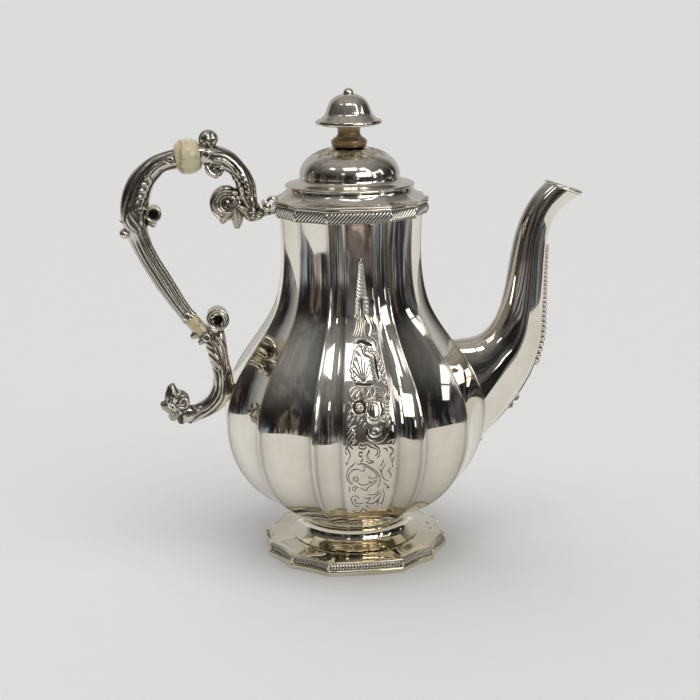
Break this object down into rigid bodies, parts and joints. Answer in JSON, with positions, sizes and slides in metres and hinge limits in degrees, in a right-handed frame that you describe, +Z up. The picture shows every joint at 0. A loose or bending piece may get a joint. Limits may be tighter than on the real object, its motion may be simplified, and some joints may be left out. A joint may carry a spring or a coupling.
{
  "type": "coffee pot",
  "caption": "Fluted pear-shaped coffee pot with a scalloped foot, swan-neck spout, scroll handle with insulators and a hinged domed lid.",
  "frame": {"origin": "centre of the foot's resting face, on the pot's axis", "axes": "+Z up the pot's axis, +X towards the spout, handle on -X"},
  "size_m": [0.2658, 0.1498, 0.27],
  "materials": {
    "silver": "polished sheet silver with a warm tone and light tarnish",
    "cast_silver": "cast silver with dark recesses",
    "rod_silver": "plain turned silver",
    "ivory": "cream ivory-coloured insulator, polished",
    "ivory_amber": "brown-stained ivory-coloured insulator"
  },
  "bodies": {
    "pot": {"body_shell": "silver", "body_bottom": "silver", "rim_rope_band": "silver", "rim_wire": "silver", "foot_collar": "silver", "foot_dish": "silver", "foot_edge_wire": "silver", "foot_rope_band": "silver", "foot_base_band": "silver", "foot_corner_stops": "silver", "spout_shell": "silver", "spout_lip_wire": "silver", "spout_ornament": "silver", "hinge_body_knuckles": "silver", "hinge_pin": "silver", "handle_upper_mount": "cast_silver", "upper_insulator": "ivory", "handle_grip": "cast_silver", "lower_insulator": "ivory", "handle_lower_mount": "cast_silver", "handle_pins": "silver"},
    "lid": {"lid_shoulder": "silver", "lid_dome": "silver", "lid_bezel": "silver", "lid_hinge_leaf": "silver", "knob_insulator": "ivory_amber", "knob_cap_plate": "silver", "knob_cap": "silver", "knob_finial": "silver", "knob_rod": "rod_silver", "knob_washer": "rod_silver", "knob_nut": "rod_silver"}
  },
  "joints": [
    {"name": "lid_hinge", "type": "hinge", "parent": "pot", "child": "lid", "pos_m": [-0.0476, 0, 0.206], "axis": [0, -1, 0], "range_deg": [0, 62]}
  ]
}
